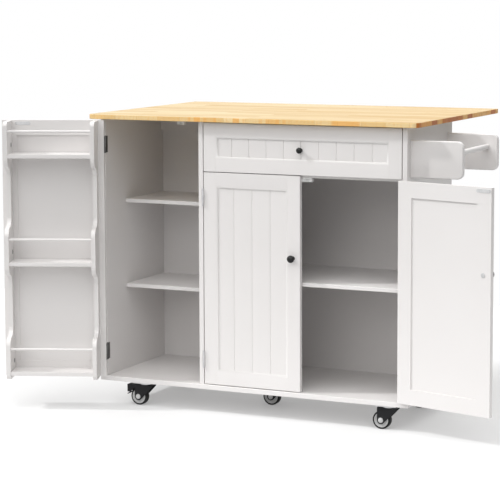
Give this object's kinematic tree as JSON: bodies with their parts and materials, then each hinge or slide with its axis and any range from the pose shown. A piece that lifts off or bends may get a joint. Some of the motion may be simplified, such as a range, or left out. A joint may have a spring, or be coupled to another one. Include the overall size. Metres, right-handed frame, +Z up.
{
  "type": "drop leaf kitchen island",
  "caption": "Kitchen island on casters with a drop leaf, a drawer, cupboard doors, a door that carries a spice rack, shelves and a towel rack.",
  "frame": {"origin": "on the floor, under the middle of the cabinet in width and depth", "axes": "X to the right seen from the front, Y to the back, Z up"},
  "size_m": [1.6015, 0.9417, 0.92],
  "materials": {
    "black_metal": "satin black",
    "black_plastic": "matt black",
    "drawer_runner": "white powder coat",
    "grey_hub": "matt light grey hub in a black tyre",
    "hinge_steel": "bright zinc",
    "top_wood": "clear satin oil on finger-jointed strips",
    "white_paint": "satin white paint on board",
    "white_plastic": "matt"
  },
  "bodies": {
    "cabinet": {"back_panels": "white_paint", "base_panel": "white_paint", "cabinet_runners": "drawer_runner", "cabinet_shelves": "white_paint", "caster_plates": "hinge_steel", "divider_panel": "white_paint", "door_hinge_cabinet_leaves": "hinge_steel", "drawer_rail": "white_paint", "leaf_hinge_top_plates": "hinge_steel", "left_side_panel": "white_paint", "magnetic_catches": "white_plastic", "rear_rails": "white_paint", "right_side_panel": "white_paint", "shelf_pins": "hinge_steel", "stay_legs": "hinge_steel", "towel_rack_boards": "white_paint", "towel_rod": "white_paint", "worktop": "top_wood"},
    "spice_door": {"spice_door_frame": "white_paint", "spice_door_hinge_leaves": "hinge_steel", "spice_door_knob": "black_metal", "spice_door_panel": "white_paint", "spice_door_strike": "hinge_steel", "spice_rack_cams": "hinge_steel", "spice_rack_rods": "white_paint", "spice_rack_shelves": "white_paint", "spice_rack_sides": "white_paint"},
    "left_door": {"left_door_frame": "white_paint", "left_door_hinge_leaves": "hinge_steel", "left_door_knob": "black_metal", "left_door_panel": "white_paint", "left_door_strike": "hinge_steel"},
    "right_door": {"right_door_frame": "white_paint", "right_door_hinge_leaves": "hinge_steel", "right_door_knob": "black_metal", "right_door_panel": "white_paint", "right_door_strike": "hinge_steel"},
    "drawer": {"drawer_bottom": "white_paint", "drawer_box": "white_paint", "drawer_front_frame": "white_paint", "drawer_front_panel": "white_paint", "drawer_knob": "black_metal", "drawer_runners": "drawer_runner"},
    "leaf": {"drop_leaf": "top_wood", "leaf_hinge_leaf_plates": "hinge_steel", "stay_lugs": "hinge_steel"},
    "stays": {"leaf_stays": "hinge_steel"},
    "caster_brake": {"caster_brake_pedal": "black_plastic"},
    "caster_front_left_swivel": {"caster_front_left_fork": "black_plastic"},
    "caster_front_left_wheel": {"caster_front_left_wheel": "grey_hub"},
    "caster_front_right_swivel": {"caster_front_right_fork": "black_plastic"},
    "caster_front_right_wheel": {"caster_front_right_wheel": "grey_hub"},
    "caster_middle_swivel": {"caster_middle_fork": "black_plastic"},
    "caster_middle_wheel": {"caster_middle_wheel": "grey_hub"},
    "caster_rear_left_swivel": {"caster_rear_left_fork": "black_plastic"},
    "caster_rear_left_wheel": {"caster_rear_left_wheel": "grey_hub"},
    "caster_rear_right_swivel": {"caster_rear_right_fork": "black_plastic"},
    "caster_rear_right_wheel": {"caster_rear_right_wheel": "grey_hub"}
  },
  "joints": [
    {"name": "spice_door_hinge", "type": "hinge", "parent": "cabinet", "child": "spice_door", "pos_m": [-0.49575, -0.1987, 0.497], "axis": [0, 0, 1], "range_deg": [-11.5, 158.5]},
    {"name": "left_door_hinge", "type": "hinge", "parent": "cabinet", "child": "left_door", "pos_m": [-0.15425, -0.1987, 0.42], "axis": [0, 0, -1], "range_deg": [0, 120]},
    {"name": "right_door_hinge", "type": "hinge", "parent": "cabinet", "child": "right_door", "pos_m": [0.49575, -0.1987, 0.42], "axis": [0, 0, -1], "range_deg": [-5, 165]},
    {"name": "drawer_slide", "type": "slide", "parent": "cabinet", "child": "drawer", "axis": [0, -1, 0], "range_m": [0, 0.27]},
    {"name": "leaf_hinge", "type": "hinge", "parent": "cabinet", "child": "leaf", "pos_m": [0, 0.2355, 0.901], "axis": [-1, 0, 0], "range_deg": [0, 90]},
    {"name": "stay_rivets", "type": "hinge", "parent": "leaf", "child": "stays", "pos_m": [0, 0.3455, 0.891], "axis": [1, 0, 0], "range_deg": [0, 137.6]},
    {"name": "front_left_swivel", "type": "hinge", "parent": "cabinet", "child": "caster_front_left_swivel", "pos_m": [-0.373, -0.169, 0.07], "axis": [0, 0, 1], "continuous": true},
    {"name": "front_left_axle", "type": "hinge", "parent": "caster_front_left_swivel", "child": "caster_front_left_wheel", "pos_m": [-0.395, -0.169, 0.0275], "axis": [0, 1, 0], "continuous": true},
    {"name": "front_right_swivel", "type": "hinge", "parent": "cabinet", "child": "caster_front_right_swivel", "pos_m": [0.449, -0.169, 0.07], "axis": [0, 0, 1], "continuous": true},
    {"name": "front_right_axle", "type": "hinge", "parent": "caster_front_right_swivel", "child": "caster_front_right_wheel", "pos_m": [0.427, -0.169, 0.0275], "axis": [0, 1, 0], "continuous": true},
    {"name": "rear_left_swivel", "type": "hinge", "parent": "cabinet", "child": "caster_rear_left_swivel", "pos_m": [-0.373, 0.155, 0.07], "axis": [0, 0, 1], "continuous": true},
    {"name": "rear_left_axle", "type": "hinge", "parent": "caster_rear_left_swivel", "child": "caster_rear_left_wheel", "pos_m": [-0.395, 0.155, 0.0275], "axis": [0, 1, 0], "continuous": true},
    {"name": "rear_right_swivel", "type": "hinge", "parent": "cabinet", "child": "caster_rear_right_swivel", "pos_m": [0.449, 0.155, 0.07], "axis": [0, 0, 1], "continuous": true},
    {"name": "rear_right_axle", "type": "hinge", "parent": "caster_rear_right_swivel", "child": "caster_rear_right_wheel", "pos_m": [0.427, 0.155, 0.0275], "axis": [0, 1, 0], "continuous": true},
    {"name": "middle_swivel", "type": "hinge", "parent": "cabinet", "child": "caster_middle_swivel", "pos_m": [0.01, 0, 0.07], "axis": [0, 0, 1], "continuous": true},
    {"name": "middle_axle", "type": "hinge", "parent": "caster_middle_swivel", "child": "caster_middle_wheel", "pos_m": [-0.012, 0, 0.0275], "axis": [0, 1, 0], "continuous": true},
    {"name": "brake_pedal_pin", "type": "hinge", "parent": "caster_front_left_swivel", "child": "caster_brake", "pos_m": [-0.4025, -0.169, 0.0605], "axis": [0, -1, 0], "range_deg": [-3, 3]}
  ],
  "couplings": [
    {"joint": "stay_rivets", "follows": "leaf_hinge", "ratio": 1.5279}
  ]
}
